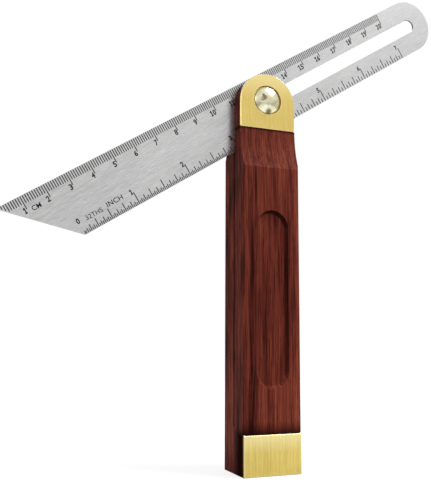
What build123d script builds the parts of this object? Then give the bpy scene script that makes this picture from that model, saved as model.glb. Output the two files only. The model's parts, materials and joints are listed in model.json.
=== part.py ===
from build123d import *
from math import radians, tan
import os

# Sliding bevel gauge: a hardwood stock with a saw kerf, brass cheek plates, a brass butt
# plate, a graduated steel blade that turns and slides on a clamping bolt, and a brass wing
# nut at the back.
# Frame: X across the stock, Y front to back, Z up the stock. The origin is the centre of
# the butt's end face. The blade's mid-plane is Y = 0. Millimetres.

# Stock
stock_width = 25.4
stock_thickness = 20.8
stock_edge_radius = 1.0
pivot_height = 155.2
arch_drop = 1.2            # the arch's centre lies this far below the pivot
neck_thickness = 13.5      # over both head plates
neck_drop = 12.9           # the head plates end this far below the pivot
front_ramp_length = 17.5
rear_ramp_length = 13.0
kerf_floor_height = 18.5   # solid wood under the kerf
saw_margin = 1.0           # how far the cutting shapes run past the wood

# Finger groove in the front face
groove_width = 14.7
groove_length = 73.0
groove_centre_height = 70.2
groove_depth = 1.8
groove_wall_angle = 32.0
groove_floor_radius = 0.7

# Brass plates
plate_thickness = 1.2
plate_chamfer = 0.3
plate_corner_radius = 0.8
butt_plate_height = 16.2
head_plate_web = 0.4       # brass left under the bolt head
head_recess_flare = 0.35   # how much wider the recess is at its mouth

# Blade
blade_length = 226.4
blade_width = 24.5
blade_thickness = 1.0
blade_tip_angle = 45.0
blade_slot_start = 116.0   # first slot centre, from the tip
blade_edge_break = 0.1
blade_tilt = 32.1          # above horizontal, at rest
pivot_station = 121.0      # where the bolt stands along the blade, from the tip

# Bolt, washer and wing nut
shank_diameter = 6.0
thread_tip_chamfer = 0.6
thread_past_nut = 1.5
square_corner_radius = 0.5
bolt_head_diameter = 11.8
bolt_head_rim = 0.5
bolt_head_dome = 2.1
washer_diameter = 12.5
washer_thickness = 1.2
nut_height = 8.0
nut_base_diameter = 10.5
nut_top_diameter = 8.0
wing_span = 27.0
wing_thickness = 2.2
wing_height = 12.5
wing_tip_radius = 3.6
wing_root_depth = 1.0      # how far the wings run into the hub
wing_heel_height = 1.2     # above the nut's base
wing_edge_share = 0.4      # of the wing's thickness, rounded on each side
nut_rest_turn = 0.0        # wings level with the floor at rest

# Clearances
kerf_side_clearance = 0.15
slot_side_clearance = 0.2
running_clearance = 0.06
head_recess_clearance = 0.2
square_turning_clearance = 0.10

# Worked-out sizes
half_width = stock_width / 2
half_thickness = stock_thickness / 2
neck_face = neck_thickness / 2
neck_wood_face = neck_face - plate_thickness
arch_centre_height = pivot_height - arch_drop
neck_base_height = pivot_height - neck_drop
kerf_width = blade_thickness + 2 * kerf_side_clearance
bolt_front = -neck_wood_face - head_plate_web
head_recess_radius = bolt_head_diameter / 2 + head_recess_clearance
shank_radius = shank_diameter / 2
bore_radius = shank_radius + running_clearance
square_side = shank_diameter
blade_slot_width = square_side + 2 * slot_side_clearance
square_reach = square_side / 2 * 2**0.5 - square_corner_radius * (2**0.5 - 1)
square_bore_radius = square_reach + square_turning_clearance
washer_front = neck_face
nut_front = washer_front + washer_thickness
bolt_end = nut_front + nut_height + thread_past_nut

pivot = Vector(0, 0, pivot_height)


def front_plane(y):
    """A sketch plane facing the front, with its x along +X, its y up and its origin on the pivot."""
    return Plane(origin=(0, y, pivot_height), x_dir=(1, 0, 0), z_dir=(0, -1, 0))


def along_y(radius, y_from, y_to):
    """A cylinder on the pivot axis between two depths."""
    return extrude(front_plane(y_to) * Circle(radius), y_to - y_from)


def arch_outline(plane, foot, centre, half):
    """A plate with a level foot and a round top."""
    above = (Align.CENTER, Align.MIN)
    box = Rectangle(2 * half, centre - foot, align=above)
    top = Circle(half) & Rectangle(2 * half, half, align=above)
    return plane * (Pos(0, foot) * box + Pos(0, centre) * top)


def body_bar():
    """The bar that the stock is cut from: rounded along its long edges, round at the top."""
    bar = extrude(
        RectangleRounded(stock_width, stock_thickness, stock_edge_radius),
        arch_centre_height + half_width,
    )
    outline = arch_outline(Plane.XZ.offset(-half_thickness), 0, arch_centre_height, half_width)
    return bar & extrude(outline, stock_thickness)


def ramp_profile(side, ramp_length):
    """The wood taken away at the neck on one face, seen from the side."""
    rise = half_thickness - neck_face
    ramp_radius = (ramp_length**2 + rise**2) / (2 * rise)
    foot_height = neck_base_height - ramp_length
    mid = ramp_length / 2
    mid_rise = ramp_radius - (ramp_radius**2 - mid**2) ** 0.5
    over = stock_edge_radius + plate_thickness
    top = pivot_height + stock_width
    with BuildSketch(Plane.YZ.offset(-half_width - over)) as profile:
        with BuildLine():
            foot = (side * half_thickness, foot_height)
            neck = (side * neck_face, neck_base_height)
            outside = side * (half_thickness + over)
            ThreePointArc(foot, (side * (neck_face + mid_rise), neck_base_height - mid), neck)
            Polyline(
                neck,
                (side * neck_wood_face, neck_base_height),
                (side * neck_wood_face, top),
                (outside, top),
                (outside, foot_height),
                foot,
            )
        make_face()
    return extrude(profile.sketch, stock_width + 2 * over)


def finger_groove():
    """An oblong hollow with sloped walls and a rounded floor edge."""
    face = Plane(origin=(0, -half_thickness, groove_centre_height), x_dir=(1, 0, 0), z_dir=(0, 1, 0))
    mouth = face * Rot(0, 0, 90) * SlotOverall(groove_length, groove_width)
    hollow = extrude(mouth, groove_depth, taper=groove_wall_angle)
    floor = hollow.faces().sort_by(Axis.Y)[-1]
    return fillet(floor.edges(), groove_floor_radius)


def stock():
    wood = body_bar()
    wood -= ramp_profile(-1, front_ramp_length)
    wood -= ramp_profile(1, rear_ramp_length)
    cut_width = stock_width + 2 * saw_margin
    wood -= Pos(0, -half_thickness, 0) * Box(cut_width, 2 * plate_thickness, 2 * butt_plate_height)
    kerf_height = pivot_height + stock_width - kerf_floor_height
    wood -= Pos(0, 0, kerf_floor_height) * Box(
        cut_width,
        kerf_width,
        kerf_height,
        align=(Align.CENTER, Align.CENTER, Align.MIN),
    )
    wood -= along_y(square_bore_radius, -half_thickness, 0)
    wood -= along_y(bore_radius, 0, half_thickness)
    return wood - finger_groove()


def head_plate(side, hole_radius):
    """A cheek plate on the neck: side is -1 at the front, 1 at the back."""
    plane = front_plane(neck_face if side > 0 else -neck_wood_face)
    plate = extrude(arch_outline(plane, -neck_drop, -arch_drop, half_width), plate_thickness)
    corners = plate.edges().filter_by(Axis.Y).group_by(Axis.Z)[0]
    plate = fillet(corners, plate_corner_radius)
    rim = plate.faces().sort_by(Axis.Y)[0 if side < 0 else -1]
    plate = chamfer(rim.edges(), plate_chamfer)
    low, high = sorted((side * neck_wood_face, side * neck_face))
    return plate - along_y(hole_radius, low, high)


def head_plate_front():
    """The cheek plate that the bolt head sits in: a flared recess over a thin web."""
    seat = Plane(origin=(0, bolt_front, pivot_height), x_dir=(1, 0, 0), z_dir=(0, -1, 0))
    recess = seat * Cone(
        head_recess_radius,
        head_recess_radius + head_recess_flare,
        plate_thickness - head_plate_web,
        align=(Align.CENTER, Align.CENTER, Align.MIN),
    )
    return head_plate(-1, square_bore_radius) - recess


def butt_plate():
    """A plate let into the front of the butt, flush with the wood above it."""
    middle = plate_thickness / 2 - half_thickness
    plate = Pos(0, middle, butt_plate_height / 2) * Box(stock_width, plate_thickness, butt_plate_height)
    return chamfer(plate.faces().sort_by(Axis.Y)[0].edges(), plate_chamfer)


def blade():
    """Tip at u = 0 on the upper edge, slot on the centreline, round far end."""
    half = blade_width / 2
    end_centre = blade_length - half
    skew = blade_width / tan(radians(blade_tip_angle))
    outline = make_face(
        Polyline((0, half), (end_centre, half))
        + ThreePointArc((end_centre, half), (blade_length, 0), (end_centre, -half))
        + Polyline((end_centre, -half), (skew, -half), (0, half))
    )
    slot_run = end_centre - blade_slot_start
    slot = SlotCenterToCenter(slot_run, blade_slot_width)
    outline -= Pos(blade_slot_start + slot_run / 2, 0) * slot
    plane = front_plane(blade_thickness / 2) * Rot(0, 0, blade_tilt) * Pos(-pivot_station, 0)
    steel = extrude(plane * outline, blade_thickness)
    faces = steel.faces().sort_by(Axis.Y)
    return chamfer(faces[0].edges() + faces[-1].edges(), blade_edge_break)


def pivot_bolt():
    """A domed head in the front plate, a square neck that rides in the slot, a round shank."""
    head_radius = bolt_head_diameter / 2
    dome_radius = (head_radius**2 + bolt_head_dome**2) / (2 * bolt_head_dome)
    rim_face = bolt_front - bolt_head_rim
    dome_centre = rim_face - bolt_head_dome + dome_radius
    ball = Pos(0, dome_centre, pivot_height) * Sphere(dome_radius)
    bolt = ball & along_y(head_radius, rim_face - bolt_head_dome, rim_face)
    bolt += along_y(head_radius, rim_face, bolt_front)
    neck_end = blade_thickness / 2
    neck = RectangleRounded(square_side, square_side, square_corner_radius)
    bolt += extrude(front_plane(neck_end) * Rot(0, 0, blade_tilt) * neck, neck_end - bolt_front)
    shank = along_y(shank_radius, neck_end, bolt_end)
    return bolt + chamfer(shank.faces().sort_by(Axis.Y)[-1].edges(), thread_tip_chamfer)


def nut_washer():
    ring = along_y(washer_diameter / 2, washer_front, nut_front)
    ring = chamfer(ring.edges(), plate_chamfer / 2)
    return ring - along_y(bore_radius, washer_front, nut_front)


def wing_nut():
    """A tapered hub with two rounded wings that lean out from it."""
    hub = Plane(origin=(0, nut_front, pivot_height), x_dir=(1, 0, 0), z_dir=(0, 1, 0)) * Cone(
        nut_base_diameter / 2,
        nut_top_diameter / 2,
        nut_height,
        align=(Align.CENTER, Align.CENTER, Align.MIN),
    )
    reach = wing_span / 2
    root = nut_base_diameter / 2 - wing_root_depth
    rise = nut_front + wing_heel_height
    tip = Pos(reach - wing_tip_radius, nut_front + wing_height - wing_tip_radius) * Circle(wing_tip_radius)
    heel = Pos(root, rise + wing_tip_radius) * Circle(wing_tip_radius)
    wing = make_hull(tip.edges() + heel.edges())
    wing = extrude(Plane.XY.offset(pivot_height) * wing, wing_thickness / 2, both=True)
    rims = wing.faces().filter_by(Axis.Z).edges()
    wing = fillet(rims, wing_thickness * wing_edge_share)
    nut = hub + wing + mirror(wing, Plane.YZ)
    nut -= along_y(bore_radius, nut_front, nut_front + wing_height)
    turn = Location(tuple(pivot), (0, nut_rest_turn, 0)) * Location(tuple(-pivot))
    return turn * nut


def write(name, solid):
    export_step(solid, f"parts/{name}.step")


os.makedirs("parts", exist_ok=True)
write("stock", stock())
write("head_plate_front", head_plate_front())
write("head_plate_rear", head_plate(1, bore_radius))
write("butt_plate", butt_plate())
write("blade", blade())
write("pivot_bolt", pivot_bolt())
write("nut_washer", nut_washer())
write("wing_nut", wing_nut())
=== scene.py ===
import json
import math

import bmesh
import bpy
from mathutils import Matrix, Vector

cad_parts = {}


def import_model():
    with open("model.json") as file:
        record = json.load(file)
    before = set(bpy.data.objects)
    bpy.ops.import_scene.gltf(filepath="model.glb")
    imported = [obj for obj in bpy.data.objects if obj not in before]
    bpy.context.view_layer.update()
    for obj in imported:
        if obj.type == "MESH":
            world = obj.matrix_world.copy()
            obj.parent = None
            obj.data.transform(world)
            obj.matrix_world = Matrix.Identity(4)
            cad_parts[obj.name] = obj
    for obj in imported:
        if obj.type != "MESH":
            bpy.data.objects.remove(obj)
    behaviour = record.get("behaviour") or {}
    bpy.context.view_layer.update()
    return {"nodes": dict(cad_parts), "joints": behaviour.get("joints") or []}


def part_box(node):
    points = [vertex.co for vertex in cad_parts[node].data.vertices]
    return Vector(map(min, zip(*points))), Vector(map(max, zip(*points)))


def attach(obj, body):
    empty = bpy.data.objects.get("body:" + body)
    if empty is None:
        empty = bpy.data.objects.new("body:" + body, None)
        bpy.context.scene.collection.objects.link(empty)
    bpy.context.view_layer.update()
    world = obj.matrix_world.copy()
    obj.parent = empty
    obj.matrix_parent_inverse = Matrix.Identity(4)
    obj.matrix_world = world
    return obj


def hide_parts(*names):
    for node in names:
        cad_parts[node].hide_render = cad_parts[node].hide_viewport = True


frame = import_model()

mm = 0.001
nodes = frame["nodes"]
joints = {joint["name"]: joint for joint in frame["joints"]}
pivot = Vector(joints["blade_turn"]["pos_m"])
bpy.context.scene.view_settings.view_transform = "Standard"
print("frame loaded:", len(nodes), "nodes")


# ---- shader helpers

def newMaterial(name):
    material = bpy.data.materials.new(name)
    material.use_nodes = True
    shader = material.node_tree.nodes["Principled BSDF"]
    return material, material.node_tree, shader


def addNode(tree, kind, **settings):
    node = tree.nodes.new(kind)
    for key, value in settings.items():
        setattr(node, key, value)
    return node


def fill(node, **values):
    # socket names are written with underscores for spaces
    for key, value in values.items():
        node.inputs[key.replace("_", " ")].default_value = value
    return node


def mathNode(tree, operation, a, b=None):
    node = addNode(tree, "ShaderNodeMath", operation=operation)
    for index, value in enumerate((a, b)):
        if value is None:
            continue
        if isinstance(value, (int, float)):
            node.inputs[index].default_value = value
        else:
            tree.links.new(value, node.inputs[index])
    return node.outputs[0]


def weighted(tree, *parts):
    # the sum of (value, weight) pairs
    total = None
    for value, weight in parts:
        part = mathNode(tree, "MULTIPLY", value, weight)
        total = part if total is None else mathNode(tree, "ADD", total, part)
    return total


def clamped(tree, value):
    return mathNode(tree, "MINIMUM", mathNode(tree, "MAXIMUM", value, 0.0), 1.0)


def coordinates(tree, kind):
    return tree.nodes.new("ShaderNodeTexCoord").outputs[kind]


def separated(tree, vector):
    # the X, Y and Z of a vector
    node = addNode(tree, "ShaderNodeSeparateXYZ")
    tree.links.new(vector, node.inputs[0])
    return node.outputs["X"], node.outputs["Y"], node.outputs["Z"]


def colourRamp(tree, factor, stops):
    node = addNode(tree, "ShaderNodeValToRGB")
    ramp = node.color_ramp
    while len(ramp.elements) < len(stops):
        ramp.elements.new(0.5)
    for element, (place, colour) in zip(ramp.elements, stops):
        element.position = place
        element.color = (*colour, 1)
    tree.links.new(factor, node.inputs[0])
    return node.outputs[0]


def grey(value):
    return (value, value, value)


def mixColour(tree, factor, a, b, blend="MIX"):
    node = addNode(tree, "ShaderNodeMix", data_type="RGBA", blend_type=blend)
    for index, value in ((0, factor), (6, a), (7, b)):
        if isinstance(value, (int, float)):
            node.inputs[index].default_value = value
        elif isinstance(value, tuple):
            node.inputs[index].default_value = (*value, 1)
        else:
            tree.links.new(value, node.inputs[index])
    return node.outputs[2]


def scaled(tree, vector, scale):
    node = addNode(tree, "ShaderNodeMapping")
    node.inputs["Scale"].default_value = scale
    tree.links.new(vector, node.inputs["Vector"])
    return node.outputs[0]


def noise(tree, vector, scale, detail, rough, distortion=0.0):
    node = addNode(tree, "ShaderNodeTexNoise")
    fill(node, Scale=scale, Detail=detail, Roughness=rough, Distortion=distortion)
    tree.links.new(vector, node.inputs["Vector"])
    return node.outputs["Fac"]


def newGroup(name, inputs, outputs):
    group = bpy.data.node_groups.new(name, "ShaderNodeTree")
    for label, kind, value in inputs:
        socket = group.interface.new_socket(name=label, in_out="INPUT", socket_type=kind)
        socket.default_value = value
    for label, kind in outputs:
        group.interface.new_socket(name=label, in_out="OUTPUT", socket_type=kind)
    return group, group.nodes.new("NodeGroupInput"), group.nodes.new("NodeGroupOutput")


def placeGroup(tree, group, **values):
    node = addNode(tree, "ShaderNodeGroup", node_tree=group)
    return fill(node, **values)


def brushedGroup():
    # fine lines along the group's X axis, with broad soft bands among them
    group, entry, out = newGroup(
        "brushedLines",
        [
            ("Turn", "NodeSocketVector", (0, 0, 0)),
            ("Fineness", "NodeSocketFloat", 1.0),
            ("Stretch", "NodeSocketFloat", 0.02),
        ],
        [("Lines", "NodeSocketFloat"), ("Bands", "NodeSocketFloat"), ("Scratches", "NodeSocketFloat")],
    )
    turned = addNode(group, "ShaderNodeMapping", vector_type="TEXTURE")
    group.links.new(coordinates(group, "Object"), turned.inputs["Vector"])
    group.links.new(entry.outputs["Turn"], turned.inputs["Rotation"])
    squeeze = group.nodes.new("ShaderNodeCombineXYZ")
    group.links.new(entry.outputs["Stretch"], squeeze.inputs["X"])
    fill(squeeze, Y=1.0, Z=1.0)
    drawn = addNode(group, "ShaderNodeVectorMath", operation="MULTIPLY")
    group.links.new(turned.outputs[0], drawn.inputs[0])
    group.links.new(squeeze.outputs[0], drawn.inputs[1])
    fine = addNode(group, "ShaderNodeVectorMath", operation="SCALE")
    group.links.new(drawn.outputs[0], fine.inputs[0])
    group.links.new(entry.outputs["Fineness"], fine.inputs["Scale"])
    lines = noise(group, fine.outputs[0], 9000, 4, 0.7)
    bands = noise(group, fine.outputs[0], 1100, 3, 0.6)
    sparse = noise(group, fine.outputs[0], 4200, 1, 0.4)
    scratches = colourRamp(group, sparse, [(0.70, grey(0)), (0.76, grey(1))])
    group.links.new(lines, out.inputs["Lines"])
    group.links.new(bands, out.inputs["Bands"])
    group.links.new(scratches, out.inputs["Scratches"])
    return group


def edgeGroup():
    # a mask that is 1 along rounded-over edges and 0 on flats
    group, entry, out = newGroup(
        "edgeWear",
        [("Radius", "NodeSocketFloat", 0.0004), ("Sharpness", "NodeSocketFloat", 6.0)],
        [("Edge", "NodeSocketFloat")],
    )
    bevel = addNode(group, "ShaderNodeBevel", samples=6)
    group.links.new(entry.outputs["Radius"], bevel.inputs["Radius"])
    true = group.nodes.new("ShaderNodeNewGeometry").outputs["Normal"]
    dot = addNode(group, "ShaderNodeVectorMath", operation="DOT_PRODUCT")
    group.links.new(bevel.outputs[0], dot.inputs[0])
    group.links.new(true, dot.inputs[1])
    turned = mathNode(group, "SUBTRACT", 1.0, dot.outputs["Value"])
    edge = mathNode(group, "MULTIPLY", turned, entry.outputs["Sharpness"])
    group.links.new(mathNode(group, "MINIMUM", edge, 1.0), out.inputs["Edge"])
    return group


def tarnishGroup():
    # slow cloudy changes, as handled metal has
    group, entry, out = newGroup(
        "tarnish",
        [("Scale", "NodeSocketFloat", 60.0)],
        [("Cloud", "NodeSocketFloat")],
    )
    cloud = addNode(group, "ShaderNodeTexNoise")
    fill(cloud, Detail=5.0, Roughness=0.6, Distortion=0.4)
    group.links.new(coordinates(group, "Object"), cloud.inputs["Vector"])
    group.links.new(entry.outputs["Scale"], cloud.inputs["Scale"])
    group.links.new(cloud.outputs["Fac"], out.inputs["Cloud"])
    return group


def sawnGroup():
    # 1 on faces that look sideways, 0 on those that look to the front or back
    group, _, out = newGroup("sidewaysFaces", [], [("Side", "NodeSocketFloat")])
    facingBack = separated(group, coordinates(group, "Normal"))[1]
    flat = mathNode(group, "ABSOLUTE", facingBack)
    group.links.new(colourRamp(group, flat, [(0.25, grey(1)), (0.55, grey(0))]), out.inputs["Side"])
    return group


brushedLines = brushedGroup()
sidewaysFaces = sawnGroup()
edgeWear = edgeGroup()
tarnish = tarnishGroup()


def bumped(tree, shader, height, strength, distance):
    node = addNode(tree, "ShaderNodeBump")
    fill(node, Strength=strength, Distance=distance)
    tree.links.new(height, node.inputs["Height"])
    tree.links.new(node.outputs[0], shader.inputs["Normal"])


# ---- materials

headLook = {
    "dark": (0.61, 0.435, 0.105),
    "light": (0.93, 0.73, 0.25),
    # painted sheen colour near the plate's top
    "glow": (0.91, 0.77, 0.345),
    "edge": (1.0, 0.90, 0.58),
    "side": (0.17, 0.085, 0.035),     # painted shade on the sideways faces, dark against the wood
    "roughness": (0.24, 0.40),
    "fineness": 1.7,
    "stretch": 0.06,
}
buttLook = {
    "dark": (0.57, 0.425, 0.10),
    "light": (0.83, 0.65, 0.20),
    "glow": (0.89, 0.765, 0.35),      # a lighter sheen towards the top
    "edge": (1.0, 0.92, 0.62),
    "side": (0.26, 0.15, 0.06),
    "roughness": (0.22, 0.36),
    "fineness": 1.0,
    "stretch": 0.015,
}
quarterTurn = math.pi / 2


def brassMaterial(name, plate, look):
    # brushed along the plate's height
    material, tree, shader = newMaterial(name)
    upright = {"Turn": (0, quarterTurn, 0), "Fineness": look["fineness"], "Stretch": look["stretch"]}
    lines = placeGroup(tree, brushedLines, **upright)
    cloud = placeGroup(tree, tarnish, Scale=90.0)
    wear = placeGroup(tree, edgeWear, Radius=0.00045, Sharpness=8.0)
    streak = weighted(
        tree,
        (lines.outputs["Lines"], 0.55),
        (lines.outputs["Bands"], 0.3),
        (cloud.outputs["Cloud"], 0.15),
    )
    base = colourRamp(tree, streak, [(0.34, look["dark"]), (0.62, look["light"])])
    z = separated(tree, coordinates(tree, "Object"))[2]
    foot, head = (corner.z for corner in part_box(plate))
    height = mathNode(tree, "DIVIDE", mathNode(tree, "SUBTRACT", z, foot), head - foot)
    # painted sheen: the plate is lighter towards its top
    sheen = colourRamp(tree, height, [(0.55, grey(0)), (0.9, grey(0.8))])
    base = mixColour(tree, sheen, base, look["glow"])
    # worn brass and a painted highlight along the bevelled edges: the edge colour is lighter
    base = mixColour(tree, wear.outputs["Edge"], base, look["edge"])
    # painted shade: faces that look sideways are made dark
    base = mixColour(tree, placeGroup(tree, sidewaysFaces).outputs["Side"], base, look["side"])
    smooth, coarse = look["roughness"]
    rough = colourRamp(tree, streak, [(0.35, grey(coarse)), (0.65, grey(smooth))])
    tree.links.new(base, shader.inputs["Base Color"])
    tree.links.new(rough, shader.inputs["Roughness"])
    # edges made less metallic so they catch more light, part of the painted edge highlight
    metal = mathNode(tree, "SUBTRACT", 1.0, mathNode(tree, "MULTIPLY", wear.outputs["Edge"], 0.6))
    tree.links.new(metal, shader.inputs["Metallic"])
    bumped(tree, shader, lines.outputs["Lines"], 0.18, 0.00004)
    return material


polishLook = {
    "stainAndReflection": (0.16, 0.13, 0.05),
    "dark": (0.74, 0.68, 0.40),
    "light": (0.97, 0.95, 0.72),
    "edge": (0.95, 0.92, 0.70),
    "cloudScale": 260.0,
    "stainScale": 420.0,
    "patchWarp": 1.1 * mm,
    "patchSpread": 1.6,       # how far a patch fades, against its radius
}

# painted dark reflections on the dome: across and up from the pivot, radius, strength
domeDarkReflections = (
    (-2.0 * mm, 0.4 * mm, 1.3 * mm, 0.75),
    (0.3 * mm, -5.2 * mm, 1.6 * mm, 0.95),
    (-4.5 * mm, -2.6 * mm, 1.0 * mm, 0.5),
    (2.3 * mm, -1.3 * mm, 1.8 * mm, 0.15),
)


def polishedMaterial(name, patches=()):
    look = polishLook
    material, tree, shader = newMaterial(name)
    cloud = placeGroup(tree, tarnish, Scale=look["cloudScale"])
    wear = placeGroup(tree, edgeWear, Radius=0.0003, Sharpness=5.0)
    stains = placeGroup(tree, tarnish, Scale=look["stainScale"])
    base = colourRamp(tree, cloud.outputs["Cloud"], [(0.36, look["dark"]), (0.58, look["light"])])
    spots = colourRamp(tree, stains.outputs["Cloud"], [(0.34, grey(0.8)), (0.42, grey(0))])
    # tarnish spots; the same dark colour serves the painted reflections below
    base = mixColour(tree, spots, base, look["stainAndReflection"])
    face = scaled(tree, coordinates(tree, "Object"), (1, 0, 1))
    warp = mathNode(tree, "MULTIPLY", stains.outputs["Cloud"], look["patchWarp"])
    # painted reflections: each patch darkens the dome in a soft spot
    for across, up, radius, strength in patches:
        spot = addNode(tree, "ShaderNodeVectorMath", operation="DISTANCE")
        tree.links.new(face, spot.inputs[0])
        spot.inputs[1].default_value = (pivot.x + across, 0, pivot.z + up)
        away = mathNode(tree, "ADD", spot.outputs["Value"], warp)
        reach = mathNode(tree, "DIVIDE", away, radius * look["patchSpread"])
        patch = colourRamp(tree, reach, [(0.45, grey(strength)), (1.0, grey(0))])
        base = mixColour(tree, patch, base, look["stainAndReflection"])
    base = mixColour(tree, wear.outputs["Edge"], base, look["edge"])
    rough = colourRamp(tree, cloud.outputs["Cloud"], [(0.35, grey(0.26)), (0.62, grey(0.08))])
    tree.links.new(base, shader.inputs["Base Color"])
    tree.links.new(rough, shader.inputs["Roughness"])
    fill(shader, Metallic=1.0)
    bumped(tree, shader, cloud.outputs["Cloud"], 0.35, 0.0003)
    return material


steelLook = {
    "dark": (0.49, 0.49, 0.49),
    "light": (0.78, 0.78, 0.775),
    "edge": (0.74, 0.74, 0.74),
    "side": (0.17, 0.17, 0.175),
    "scratch": (0.76, 0.76, 0.76),
    "grainTurn": math.radians(-3),
    "crossTurn": math.radians(13),
}


def steelMaterial(name):
    look = steelLook
    material, tree, shader = newMaterial(name)
    along = joints["blade_slide"]["axis"]
    tilt = -math.atan2(along[2], along[0])
    grain, crossing = tilt + look["grainTurn"], tilt + look["crossTurn"]
    lines = placeGroup(tree, brushedLines, Turn=(0, grain, 0), Fineness=0.33, Stretch=0.085)
    cross = placeGroup(tree, brushedLines, Turn=(0, crossing, 0), Fineness=0.42, Stretch=0.06)
    cloud = placeGroup(tree, tarnish, Scale=32.0)
    wear = placeGroup(tree, edgeWear, Radius=0.00025, Sharpness=4.0)
    streak = weighted(
        tree,
        (lines.outputs["Lines"], 0.5),
        (cross.outputs["Lines"], 0.22),
        (lines.outputs["Bands"], 0.1),
        (cloud.outputs["Cloud"], 0.18),
    )
    base = colourRamp(tree, streak, [(0.37, look["dark"]), (0.61, look["light"])])
    scratches = mathNode(tree, "MULTIPLY", cross.outputs["Scratches"], 0.6)
    base = mixColour(tree, scratches, base, look["scratch"])
    base = mixColour(tree, wear.outputs["Edge"], base, look["edge"])
    # painted shade: the blade's sideways edge faces are made dark
    base = mixColour(tree, placeGroup(tree, sidewaysFaces).outputs["Side"], base, look["side"])
    rough = colourRamp(tree, streak, [(0.35, grey(0.36)), (0.65, grey(0.24))])
    tree.links.new(base, shader.inputs["Base Color"])
    tree.links.new(rough, shader.inputs["Roughness"])
    fill(shader, Metallic=1.0)
    bumped(tree, shader, lines.outputs["Lines"], 0.22, 0.00005)
    return material


woodLook = {
    "deep": (0.018, 0.0032, 0.0022),
    "dark": (0.076, 0.0135, 0.0090),
    "middle": (0.136, 0.0265, 0.0160),
    "light": (0.225, 0.0540, 0.0270),
    "pore": (0.012, 0.0028, 0.0024),
    "shade": (0.008, 0.0022, 0.0018),
    "wornEdge": (0.16, 0.036, 0.022),
    "shine": (0.9, 0.40, 0.30, 1),
    "ringScale": 700,
    "streakScale": 2100,
    "broadScale": 150,
    "poreScale": 3400,
    "shares": (0.36, 0.34, 0.30), # of rings, streaks and broad clouds in the tone
    "poreCover": 0.7,
    "edgeCover": 0.25,
    "plateShadeCover": 0.93,
    "grooveShadeCover": 0.85,
    "lean": 0.15,                 # how far the growth rings slope, front to back
    "wander": 5.0 * mm,
    "streakPlace": -8.6 * mm,     # a dark stripe of heartwood left of the groove
    "streakWidth": 2.8 * mm,
    "streakDepth": 0.085,
    "plateReach": 5.0 * mm,       # painted shade in the corner above the butt plate
    "headReach": 1.25 * mm,       # and under the head plate
    "sideReach": 11.0 * mm,       # and along the side of the butt
    "sideFade": 6.0 * mm,
    "sideOver": 3.5 * mm,         # how far above the plate the side is dark
    "grooveReach": 7.6 * mm,
    "leafEdge": 300,              # how sharply the two leaves' tones meet
    "leaves": [(0.3, grey(0.455)), (0.7, grey(0.525))],
    "sheen": 0.05,
}


def nearBand(tree, value, middle, reach):
    # 1 at the middle, 0 beyond the reach
    away = mathNode(tree, "ABSOLUTE", mathNode(tree, "SUBTRACT", value, middle))
    share = mathNode(tree, "SUBTRACT", 1.0, mathNode(tree, "DIVIDE", away, reach))
    return mathNode(tree, "MAXIMUM", share, 0.0)


def brassShade(tree, place):
    # painted shade on the wood: beside and above the butt plate, and under the head plate
    look = woodLook
    x, y, z = place
    low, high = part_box("butt_plate")
    share = mathNode(tree, "DIVIDE", z, high.z + look["sideOver"])
    beside = mathNode(tree, "MULTIPLY", mathNode(tree, "SUBTRACT", 1.0, share), 5.0)
    behind = mathNode(tree, "SUBTRACT", low.y + look["sideReach"], y)
    sideBand = clamped(tree, mathNode(tree, "DIVIDE", behind, look["sideFade"]))
    onSide = mathNode(tree, "GREATER_THAN", mathNode(tree, "ABSOLUTE", x), high.x - 0.3 * mm)
    beside = mathNode(tree, "MULTIPLY", clamped(tree, beside), sideBand)
    beside = mathNode(tree, "MULTIPLY", beside, onSide)
    onFront = mathNode(tree, "LESS_THAN", y, high.y + 1.0 * mm)
    above = mathNode(tree, "MULTIPLY", nearBand(tree, z, high.z, look["plateReach"]), onFront)
    under = nearBand(tree, z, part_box("head_plate_front")[0].z, look["headReach"])
    shade = mathNode(tree, "MAXIMUM", mathNode(tree, "MAXIMUM", beside, above), under)
    return mathNode(tree, "MINIMUM", shade, 1.0)


def grooveShade(tree, x):
    # painted shade on the groove's walls that look down or towards its left
    facingRight, _, facingUp = separated(tree, coordinates(tree, "Normal"))
    turned = weighted(tree, (facingUp, -0.85), (facingRight, -0.5))
    turned = mathNode(tree, "MULTIPLY", mathNode(tree, "SUBTRACT", turned, 0.12), 2.2)
    within = mathNode(tree, "LESS_THAN", mathNode(tree, "ABSOLUTE", x), woodLook["grooveReach"])
    return mathNode(tree, "MULTIPLY", clamped(tree, turned), within)


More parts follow.
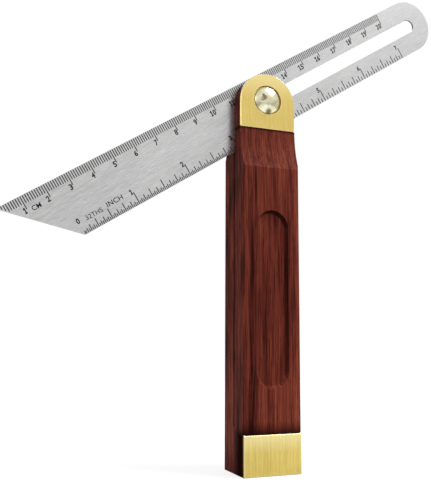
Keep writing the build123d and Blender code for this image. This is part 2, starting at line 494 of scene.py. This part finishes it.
def growthTone(tree, where, place):
    # 0 is dark heartwood and 1 is light sapwood; the second value is the fine streaks alone
    look = woodLook
    x, y, z = place
    wander = noise(tree, scaled(tree, where, (45, 45, 14)), 1.0, 2, 0.5)
    across = mathNode(tree, "ADD", x, mathNode(tree, "MULTIPLY", y, look["lean"]))
    across = mathNode(tree, "ADD", across, mathNode(tree, "MULTIPLY", wander, look["wander"]))
    ringPlace = addNode(tree, "ShaderNodeCombineXYZ")
    tree.links.new(across, ringPlace.inputs["X"])
    tree.links.new(mathNode(tree, "MULTIPLY", z, 0.02), ringPlace.inputs["Z"])
    rings = noise(tree, ringPlace.outputs[0], look["ringScale"], 5, 0.65)
    streaks = noise(tree, scaled(tree, where, (1, 0.4, 0.03)), look["streakScale"], 3, 0.65)
    broad = noise(tree, scaled(tree, where, (1, 0.5, 0.12)), look["broadScale"], 2, 0.5, 0.3)
    tone = weighted(tree, *zip((rings, streaks, broad), look["shares"]))
    stripe = nearBand(tree, across, look["streakPlace"], look["streakWidth"])
    tone = mathNode(tree, "SUBTRACT", tone, mathNode(tree, "MULTIPLY", stripe, look["streakDepth"]))
    # seen from the side, the leaf in front of the blade is browner than the one behind it
    sideways = placeGroup(tree, sidewaysFaces).outputs["Side"]
    behind = mathNode(tree, "ADD", mathNode(tree, "MULTIPLY", y, look["leafEdge"]), 0.5)
    leaf = mathNode(tree, "SUBTRACT", colourRamp(tree, behind, look["leaves"]), 0.5)
    return mathNode(tree, "ADD", tone, mathNode(tree, "MULTIPLY", leaf, sideways)), streaks


def woodMaterial(name):
    look = woodLook
    material, tree, shader = newMaterial(name)
    where = coordinates(tree, "Object")
    place = separated(tree, where)
    tone, streaks = growthTone(tree, where, place)
    base = colourRamp(
        tree,
        tone,
        [(0.37, look["deep"]), (0.455, look["dark"]), (0.52, look["middle"]), (0.635, look["light"])],
    )
    # open pores: short dark dashes along the grain
    poreNoise = noise(tree, scaled(tree, where, (1, 0.4, 0.06)), look["poreScale"], 1, 0.4)
    pores = colourRamp(tree, poreNoise, [(0.64, grey(0)), (0.72, grey(1))])
    wear = placeGroup(tree, edgeWear, Radius=0.0008, Sharpness=2.5)
    # painted shade on the wood next to the brass plates
    shade = brassShade(tree, place)
    for mask, cover, colour in (
        (pores, "poreCover", "pore"),
        (wear.outputs["Edge"], "edgeCover", "wornEdge"),
        (shade, "plateShadeCover", "shade"),
        # painted shade in the groove, on walls facing down or left
        (grooveShade(tree, place[0]), "grooveShadeCover", "shade"),
    ):
        base = mixColour(tree, mathNode(tree, "MULTIPLY", mask, look[cover]), base, look[colour])
    # less specular where the painted shade lies
    sheen = mathNode(tree, "MULTIPLY", mathNode(tree, "SUBTRACT", 1.0, shade), look["sheen"])
    tree.links.new(sheen, shader.inputs["Specular IOR Level"])
    rough = colourRamp(tree, streaks, [(0.35, grey(0.66)), (0.7, grey(0.52))])
    tree.links.new(base, shader.inputs["Base Color"])
    tree.links.new(rough, shader.inputs["Roughness"])
    fill(shader, Specular_Tint=look["shine"])
    groove = mathNode(tree, "SUBTRACT", mathNode(tree, "MULTIPLY", streaks, 0.5), pores)
    bumped(tree, shader, groove, 0.4, 0.00012)
    return material


def inkMaterial(name):
    material, tree, shader = newMaterial(name)
    cloud = placeGroup(tree, tarnish, Scale=700.0)
    base = colourRamp(tree, cloud.outputs["Cloud"], [(0.3, grey(0.004)), (0.75, grey(0.02))])
    tree.links.new(base, shader.inputs["Base Color"])
    rough = colourRamp(tree, cloud.outputs["Cloud"], [(0.3, grey(0.45)), (0.7, grey(0.65))])
    tree.links.new(rough, shader.inputs["Roughness"])
    fill(shader, Specular_IOR_Level=0.2)
    return material


buttBrass = brassMaterial("buttBrass", "butt_plate", buttLook)
headBrass = brassMaterial("headBrass", "head_plate_front", headLook)
polishedBrass = polishedMaterial("polishedBrass")
domeBrass = polishedMaterial("domeBrass", patches=domeDarkReflections)
bladeSteel = steelMaterial("bladeSteel")
rosewood = woodMaterial("rosewood")
markInk = inkMaterial("markInk")
print("materials made:", len(bpy.data.materials))


# ---- the CAD nodes that stay as they are

nodeLooks = {
    "stock": rosewood,
    "head_plate_front": headBrass,
    "head_plate_rear": headBrass,
    "butt_plate": buttBrass,
    "blade": bladeSteel,
    "pivot_bolt": polishedBrass,
    "nut_washer": polishedBrass,
    "wing_nut": polishedBrass,
}
for name, material in nodeLooks.items():
    for slot in nodes[name].material_slots:
        slot.material = material


# ---- the scale on the blade

bladeAlong = Vector(joints["blade_slide"]["axis"]).normalized()
bladeUp = Vector((-bladeAlong.z, 0, bladeAlong.x))
bladePoints = [vertex.co for vertex in nodes["blade"].data.vertices]
tipAlong = min(point.dot(bladeAlong) for point in bladePoints)
edgeUp = max(point.dot(bladeUp) for point in bladePoints)
edgeDown = min(point.dot(bladeUp) for point in bladePoints)
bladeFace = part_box("blade")[0].y
bladeWidth = edgeUp - edgeDown

scaleMarks = {
    "proud": 0.015 * mm,
    "sunk": 0.05 * mm,
    "lineWidth": 0.38 * mm,
    "edgeGap": 0.12 * mm,
    "skewGap": 0.5 * mm,      # ticks stop this short of the slanted end
    "shortest": 0.2 * mm,
    "zeroInset": 0.25 * mm,
    "millimetreLength": 3.45 * mm,
    "centimetreLength": 5.5 * mm,
    "centimetres": 20,
    "inches": 7,
    "inchParts": 32,
    "finestInches": 4,        # every part up to here, every second one beyond
    "inchLengths": {1: 5.4, 2: 4.7, 4: 3.8, 8: 2.8, 16: 1.9, 32: 1.35},
}
inch = 25.4 * mm


def bladePlace(along, down, proud):
    # along is measured from the tip, down from the upper edge
    across = bladeAlong * (tipAlong + along) + bladeUp * (edgeUp - down)
    return across + Vector((0, bladeFace - proud, 0))


def addStroke(mesh, start, end, width):
    # a square-ended line between two places given as (along, down)
    look = scaleMarks
    start, end = Vector(start), Vector(end)
    side = (end - start).normalized().orthogonal() * width / 2
    corners = []
    for depth in (look["proud"], -look["sunk"]):
        for place in (start - side, start + side, end + side, end - side):
            corners.append(mesh.verts.new(bladePlace(place.x, place.y, depth)))
    for face in ((0, 3, 2, 1), (4, 5, 6, 7), (0, 1, 5, 4), (1, 2, 6, 5), (2, 3, 7, 6), (3, 0, 4, 7)):
        mesh.faces.new([corners[i] for i in face])


def addTick(mesh, along, downFrom, downTo):
    addStroke(mesh, (along, downFrom), (along, downTo), scaleMarks["lineWidth"])


def newObject(name, mesh):
    data = bpy.data.meshes.new(name)
    bmesh.ops.recalc_face_normals(mesh, faces=mesh.faces)
    mesh.to_mesh(data)
    mesh.free()
    thing = bpy.data.objects.new(name, data)
    bpy.context.scene.collection.objects.link(thing)
    return thing


def finishPiece(name, mesh, material, body):
    piece = newObject(name, mesh)
    piece.data.materials.append(material)
    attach(piece, body)
    return piece


def smoothed(piece, degrees):
    piece.data.shade_smooth()
    piece.data.set_sharp_from_angle(angle=math.radians(degrees))


def metricTicks():
    look = scaleMarks
    mesh = bmesh.new()
    for count in range(1, look["centimetres"] * 10 + 1):
        along = count * mm
        length = look["centimetreLength"] if count % 10 == 0 else look["millimetreLength"]
        end = min(length, along - look["skewGap"])
        if end > look["edgeGap"] + look["shortest"]:
            addTick(mesh, along, look["edgeGap"], end)
    finishPiece("metric_ticks", mesh, markInk, "blade")


def inchTicks():
    look = scaleMarks
    mesh = bmesh.new()
    parts = look["inchParts"]
    for count in range(look["inches"] * parts + 1):
        if count > look["finestInches"] * parts and count % 2:
            continue
        step = parts // math.gcd(count, parts) if count else parts
        length = look["inchLengths"][step] * mm
        along = bladeWidth + (count * inch / parts if count else look["zeroInset"])
        addTick(mesh, along, bladeWidth - length, bladeWidth - look["edgeGap"])
    finishPiece("inch_ticks", mesh, markInk, "blade")


def evaluatedMesh(thing):
    # a copy of the mesh that an object's modifiers or letters make
    bpy.context.view_layer.update()
    return bpy.data.meshes.new_from_object(thing.evaluated_get(bpy.context.evaluated_depsgraph_get()))


def letterMesh(text, bold):
    curve = bpy.data.curves.new("letter", "FONT")
    curve.body = text
    curve.offset = bold
    curve.resolution_u = 4
    curve.space_character = 1.05
    shape = bpy.data.objects.new("letter", curve)
    bpy.context.scene.collection.objects.link(shape)
    data = evaluatedMesh(shape)
    bpy.data.objects.remove(shape)
    bpy.data.curves.remove(curve)
    return data


def addText(mesh, text, left, right, foot, height, bold):
    # fitted between two places along the blade, standing on foot, measured down
    data = letterMesh(text, bold)
    xs = [vertex.co.x for vertex in data.vertices]
    ys = [vertex.co.y for vertex in data.vertices]
    wide = (right - left) / (max(xs) - min(xs))
    tall = height / (max(ys) - min(ys))
    flat = bmesh.new()
    flat.from_mesh(data)
    for vertex in flat.verts:
        along = left + (vertex.co.x - min(xs)) * wide
        down = foot - (vertex.co.y - min(ys)) * tall
        vertex.co = bladePlace(along, down, scaleMarks["proud"])
    bmesh.ops.dissolve_limit(flat, angle_limit=0.01, verts=flat.verts, edges=flat.edges)
    walls = bmesh.ops.extrude_face_region(flat, geom=flat.faces[:])
    into = Vector((0, scaleMarks["proud"] + scaleMarks["sunk"], 0))
    for item in walls["geom"]:
        if isinstance(item, bmesh.types.BMVert):
            item.co += into
    joined = bpy.data.meshes.new("joined")
    flat.to_mesh(joined)
    flat.free()
    mesh.from_mesh(joined)
    bpy.data.meshes.remove(joined)
    bpy.data.meshes.remove(data)


numberLook = {
    "height": 2.45 * mm,
    "digitWidth": 1.35 * mm,
    "oneWidth": 1.0 * mm,
    "space": 0.25 * mm,
    "gap": 0.35 * mm,         # between the number and its tick
    "metricFoot": 7.05 * mm,
    "inchFoot": 19.75 * mm,
    "inchHeight": 2.3 * mm,
    "bold": 0.034,
    "stroke": 0.46 * mm,
}


def addOne(mesh, left, right, foot, height):
    # a 1 with a flag and a foot, as cut into rules
    stroke = numberLook["stroke"]
    middle = (left + right) / 2
    top = foot - height
    addStroke(mesh, (middle, foot), (middle, top), stroke)
    addStroke(mesh, (left, foot - stroke / 2), (right, foot - stroke / 2), stroke)
    addStroke(mesh, (middle, top + stroke / 3), (left, top + height * 0.3), stroke)


def addNumber(mesh, text, right, foot, height):
    look = numberLook
    for digit in reversed(text):
        wide = look["oneWidth"] if digit == "1" else look["digitWidth"]
        if digit == "1":
            addOne(mesh, right - wide, right, foot, height)
        else:
            addText(mesh, digit, right - wide, right, foot, height, look["bold"])
        right -= wide + look["space"]


def scaleNumbers():
    look = numberLook
    mesh = bmesh.new()
    for count in range(1, scaleMarks["centimetres"] + 1):
        addNumber(mesh, str(count), count * 10 * mm - look["gap"], look["metricFoot"], look["height"])
    for count in range(scaleMarks["inches"] + 1):
        right = bladeWidth + count * inch - (look["gap"] if count else -look["digitWidth"] / 2)
        addNumber(mesh, str(count), right, look["inchFoot"], look["inchHeight"])
    finishPiece("scale_numbers", mesh, markInk, "blade")


# each word's left, right, foot and height in millimetres, and its boldness
wordLook = {
    "CM": (11.7, 15.5, 7.3, 2.0, 0.015),
    "32THS": (27.8, 35.3, 20.0, 1.9, 0.004),
    "INCH": (37.7, 45.0, 19.5, 2.1, 0.012),
}


def unitWords():
    mesh = bmesh.new()
    for word, (left, right, foot, height, bold) in wordLook.items():
        addText(mesh, word, left * mm, right * mm, foot * mm, height * mm, bold)
    finishPiece("unit_words", mesh, markInk, "blade")


metricTicks()
inchTicks()
scaleNumbers()
unitWords()
print("scale drawn: blade is", round(bladeWidth / mm, 2), "mm wide")


# ---- the bolt, with its thread

boltLook = {
    "segments": 64,
    "headRadius": 5.9 * mm,
    "domeRise": 2.1 * mm,
    "rimHeight": 0.5 * mm,
    "rimRound": 0.25 * mm,
    "domeRings": 14,
    "squareSide": 6.0 * mm,
    "squareRound": 0.5 * mm,
    "shankRadius": 3.0 * mm,
    "threadStart": 7.0 * mm,
    "pitch": 1.0 * mm,
    "threadDepth": 0.42 * mm,
    "threadRings": 8,         # in each turn
    "tipBreak": 0.6 * mm,
    "sharpAt": 32,            # degrees
}


def ringOf(mesh, y, radiusAt):
    # a closed loop about the pivot axis; radiusAt gives the radius for an angle
    count = boltLook["segments"]
    loop = []
    for index in range(count):
        angle = 2 * math.pi * index / count
        radius = radiusAt(angle)
        place = (pivot.x + radius * math.cos(angle), y, pivot.z + radius * math.sin(angle))
        loop.append(mesh.verts.new(place))
    return loop


def joinRings(mesh, rings):
    for first, second in zip(rings, rings[1:]):
        for index in range(len(first)):
            after = (index + 1) % len(first)
            mesh.faces.new((first[index], first[after], second[after], second[index]))


def capRing(mesh, loop, y):
    middle = mesh.verts.new((pivot.x, y, pivot.z))
    for index, vertex in enumerate(loop):
        mesh.faces.new((vertex, loop[(index + 1) % len(loop)], middle))


def squareRadius(angle):
    # a square with rounded corners, turned to lie along the blade's slot
    look = boltLook
    half = look["squareSide"] / 2
    turned = angle - math.atan2(bladeAlong.z, bladeAlong.x)
    flat = half / max(abs(math.cos(turned)), abs(math.sin(turned)))
    corner = half * math.sqrt(2) - look["squareRound"] * (math.sqrt(2) - 1)
    return min(flat, corner)


def boltMesh():
    look = boltLook
    mesh = bmesh.new()
    low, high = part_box("pivot_bolt")
    rimFace = low.y + look["domeRise"]
    back = rimFace + look["rimHeight"]
    head, rise, rounding = look["headRadius"], look["domeRise"], look["rimRound"]
    ball = (head ** 2 + rise ** 2) / (2 * rise)
    steepest = math.asin(head / ball)
    rings = []
    for step in range(1, look["domeRings"] + 1):
        angle = steepest * step / look["domeRings"]
        radius = min(ball * math.sin(angle), head - rounding * 0.3)
        rings.append(ringOf(mesh, low.y + ball * (1 - math.cos(angle)), lambda _, r=radius: r))
    capRing(mesh, rings[0], low.y)
    rings.append(ringOf(mesh, rimFace + rounding * 0.6, lambda _: head))
    rings.append(ringOf(mesh, back, lambda _: head))
    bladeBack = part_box("blade")[1].y
    rings.append(ringOf(mesh, back, squareRadius))
    rings.append(ringOf(mesh, bladeBack, squareRadius))
    shank = look["shankRadius"]
    rings.append(ringOf(mesh, bladeBack, lambda _: shank))
    rings.append(ringOf(mesh, look["threadStart"] - look["pitch"] / 2, lambda _: shank))
    steps = int((high.y - look["threadStart"]) / look["pitch"] * look["threadRings"])
    for step in range(steps + 1):
        y = look["threadStart"] + (high.y - look["threadStart"]) * step / steps

        def threaded(angle, y=y):
            turn = (y / look["pitch"] + angle / (2 * math.pi)) % 1
            crest = shank - look["threadDepth"] * abs(2 * turn - 1)
            return min(crest, shank - look["tipBreak"] + high.y - y)

        rings.append(ringOf(mesh, y, threaded))
    joinRings(mesh, rings)
    capRing(mesh, rings[-1], high.y)
    piece = finishPiece("bolt", mesh, domeBrass, "bolt")
    smoothed(piece, look["sharpAt"])
    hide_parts("pivot_bolt")


# ---- the wing nut, cast and then bored

nutLook = {
    "hubHeight": 8.0 * mm,
    "hubTop": 4.1 * mm,
    "hubFoot": 0.6 * mm,      # straight before the taper
    "earRadius": 3.6 * mm,
    "earRoot": (4.25 * mm, 4.8 * mm),       # out from the axis, up from the base
    "earThickness": 2.5 * mm,
    "earSteps": 24,
    "voxel": 0.22 * mm,
    "softening": 7,
    "boreRadius": 3.08 * mm,
    "countersink": 0.6 * mm,
    "segments": 64,
    "sharpAt": 40,
}


def nutPlace(out, up, across):
    # the nut's own directions: out along its wings, up away from the stock
    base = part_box("wing_nut")[0].y
    return Vector((pivot.x + out, base + up, pivot.z + across))


def addTurned(mesh, profile):
    # a solid turned about the pivot axis from (radius, height) pairs
    count = nutLook["segments"]
    rings = []
    for radius, height in profile:
        loop = []
        for index in range(count):
            angle = 2 * math.pi * index / count
            loop.append(mesh.verts.new(nutPlace(radius * math.cos(angle), height, radius * math.sin(angle))))
        rings.append(loop)
    joinRings(mesh, rings)
    mesh.faces.new(rings[0])
    mesh.faces.new(rings[-1])


def addEar(mesh, side):
    look = nutLook
    low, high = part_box("wing_nut")
    radius = look["earRadius"]
    root = Vector(look["earRoot"])
    tip = Vector((high.x - pivot.x - radius, high.y - low.y - radius))
    lean = math.atan2(tip.y - root.y, tip.x - root.x)
    outline = []
    for centre, start in ((tip, -0.5), (root, 0.5)):
        for step in range(look["earSteps"] + 1):
            angle = lean + math.pi * (start + step / look["earSteps"])
            outline.append(centre + radius * Vector((math.cos(angle), math.sin(angle))))
    half = look["earThickness"] / 2
    near = [mesh.verts.new(nutPlace(side * place.x, place.y, -half)) for place in outline]
    far = [mesh.verts.new(nutPlace(side * place.x, place.y, half)) for place in outline]
    mesh.faces.new(near)
    mesh.faces.new(far)
    joinRings(mesh, [near, far])


def castNut():
    look = nutLook
    low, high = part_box("wing_nut")
    base = (high.z - low.z) / 2
    mesh = bmesh.new()
    addTurned(mesh, [(base, 0), (base, look["hubFoot"]), (look["hubTop"], look["hubHeight"])])
    addEar(mesh, 1)
    addEar(mesh, -1)
    casting = newObject("casting", mesh)
    bore = bmesh.new()
    top, radius, sink = look["hubHeight"], look["boreRadius"], look["countersink"]
    addTurned(bore, [
        (radius + sink, -sink), (radius + sink, -0.001 * mm), (radius, sink * 0.8),
        (radius, top - sink), (radius + sink * 2, top + sink),
    ])
    cutter = newObject("cutter", bore)
    fuse = casting.modifiers.new("fuse", "REMESH")
    fuse.mode = "VOXEL"
    fuse.voxel_size = look["voxel"]
    soften = casting.modifiers.new("soften", "SMOOTH")
    soften.factor = 0.5
    soften.iterations = look["softening"]
    drill = casting.modifiers.new("drill", "BOOLEAN")
    drill.operation = "DIFFERENCE"
    drill.object = cutter
    mesh = bmesh.new()
    mesh.from_mesh(evaluatedMesh(casting))
    for thing in (casting, cutter):
        bpy.data.objects.remove(thing)
    piece = finishPiece("cast_wing_nut", mesh, polishedBrass, "nut")
    smoothed(piece, look["sharpAt"])
    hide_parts("wing_nut")


boltMesh()
castNut()
print("bolt and wing nut made")


# ---- floor, light and camera

stageLook = {
    "radius": 4.0,
    "paper": 0.90,            # seen directly
    "bounce": 0.62,           # what the object sees of it
    "glow": 1.03,
    "shadowShare": 0.25,
    "fade": (0.35, 0.9),      # the floor goes over into the background between these
    "skyLow": 0.72,
    "skyMiddle": 0.78,
    "skyHigh": 0.85,
    "skyBack": 0.45,
}


def paperFloor():
    look = stageLook
    mesh = bmesh.new()
    bmesh.ops.create_circle(mesh, cap_ends=True, segments=128, radius=look["radius"])
    data = bpy.data.meshes.new("floor")
    mesh.to_mesh(data)
    mesh.free()
    material, tree, shader = newMaterial("palePaper")
    fill(shader, Roughness=0.9)
    shader.inputs["Base Color"].default_value = (*grey(look["bounce"]), 1)
    seen = addNode(tree, "ShaderNodeBsdfDiffuse")
    seen.inputs["Color"].default_value = (*grey(look["paper"]), 1)
    glow = addNode(tree, "ShaderNodeEmission")
    glow.inputs["Color"].default_value = (1, 1, 1, 1)
    glow.inputs["Strength"].default_value = look["glow"]
    length = addNode(tree, "ShaderNodeVectorMath", operation="LENGTH")
    tree.links.new(coordinates(tree, "Object"), length.inputs[0])
    near, far = look["fade"]
    share = colourRamp(tree, length.outputs["Value"], [(near, grey(look["shadowShare"])), (far, grey(0))])
    paper = addNode(tree, "ShaderNodeMixShader")
    tree.links.new(share, paper.inputs["Fac"])
    tree.links.new(glow.outputs[0], paper.inputs[1])
    tree.links.new(seen.outputs[0], paper.inputs[2])
    pick = addNode(tree, "ShaderNodeMixShader")
    direct = addNode(tree, "ShaderNodeLightPath").outputs["Is Camera Ray"]
    tree.links.new(direct, pick.inputs["Fac"])
    tree.links.new(shader.outputs[0], pick.inputs[1])
    tree.links.new(paper.outputs[0], pick.inputs[2])
    tree.links.new(pick.outputs[0], tree.nodes["Material Output"].inputs["Surface"])
    data.materials.append(material)
    floor = bpy.data.objects.new("floor", data)
    bpy.context.scene.collection.objects.link(floor)


def world():
    # white where it is seen directly; a soft studio gradient for light and reflections
    look = stageLook
    surround = bpy.data.worlds.new("studio")
    surround.use_nodes = True
    tree = surround.node_tree
    studio = tree.nodes["Background"]
    _, behind, up = separated(tree, coordinates(tree, "Generated"))
    height = colourRamp(
        tree,
        up,
        [(0.0, grey(look["skyLow"])), (0.30, grey(look["skyMiddle"])), (0.9, grey(look["skyHigh"]))],
    )
    depth = mathNode(tree, "ADD", mathNode(tree, "MULTIPLY", behind, 0.5), 0.5)
    back = colourRamp(tree, depth, [(0.35, grey(1.0)), (0.75, grey(look["skyBack"]))])
    tree.links.new(mixColour(tree, 1.0, height, back, "MULTIPLY"), studio.inputs["Color"])
    seen = addNode(tree, "ShaderNodeBackground")
    seen.inputs["Color"].default_value = (1, 1, 1, 1)
    pick = addNode(tree, "ShaderNodeMixShader")
    tree.links.new(addNode(tree, "ShaderNodeLightPath").outputs["Is Camera Ray"], pick.inputs["Fac"])
    tree.links.new(studio.outputs[0], pick.inputs[1])
    tree.links.new(seen.outputs[0], pick.inputs[2])
    tree.links.new(pick.outputs[0], tree.nodes["World Output"].inputs["Surface"])
    bpy.context.scene.world = surround


softboxes = {
    "keyLight": {"place": (0.55, -0.34, 1.05), "size": 0.45, "power": 13.0},
    "sideLight": {"place": (-1.1, -0.3, 0.6), "size": 0.7, "power": 2.0},
    "backLight": {"place": (0.1, 1.0, 0.9), "size": 0.8, "power": 7.0},
}


def aim(thing, target):
    thing.rotation_mode = "QUATERNION"
    thing.rotation_quaternion = (Vector(target) - thing.location).to_track_quat("-Z", "Y")


def softLights():
    for name, look in softboxes.items():
        data = bpy.data.lights.new(name, "AREA")
        data.size = look["size"]
        data.energy = look["power"]
        lamp = bpy.data.objects.new(name, data)
        bpy.context.scene.collection.objects.link(lamp)
        lamp.location = look["place"]
        aim(lamp, (0, 0, 0.12))


cameraView = {
    "place": (-0.1276, -0.2681, 0.0556),
    "azimuth": -21.67,
    "elevation": -7.375,
    "roll": 0.28,
    "lens": 51.84,
}


def camera():
    look = cameraView
    data = bpy.data.cameras.new("camera")
    data.lens = look["lens"]
    data.sensor_width = 36
    data.clip_start = 0.01
    view = bpy.data.objects.new("camera", data)
    bpy.context.scene.collection.objects.link(view)
    azimuth, elevation = math.radians(look["azimuth"]), math.radians(look["elevation"])
    ahead = Vector((
        -math.sin(azimuth) * math.cos(elevation),
        math.cos(azimuth) * math.cos(elevation),
        -math.sin(elevation),
    ))
    view.location = look["place"]
    view.rotation_mode = "QUATERNION"
    roll = Matrix.Rotation(math.radians(look["roll"]), 3, "Z").to_quaternion()
    view.rotation_quaternion = ahead.to_track_quat("-Z", "Y") @ roll
    bpy.context.scene.camera = view


paperFloor()
world()
softLights()
camera()
print("stage, lights and camera set")
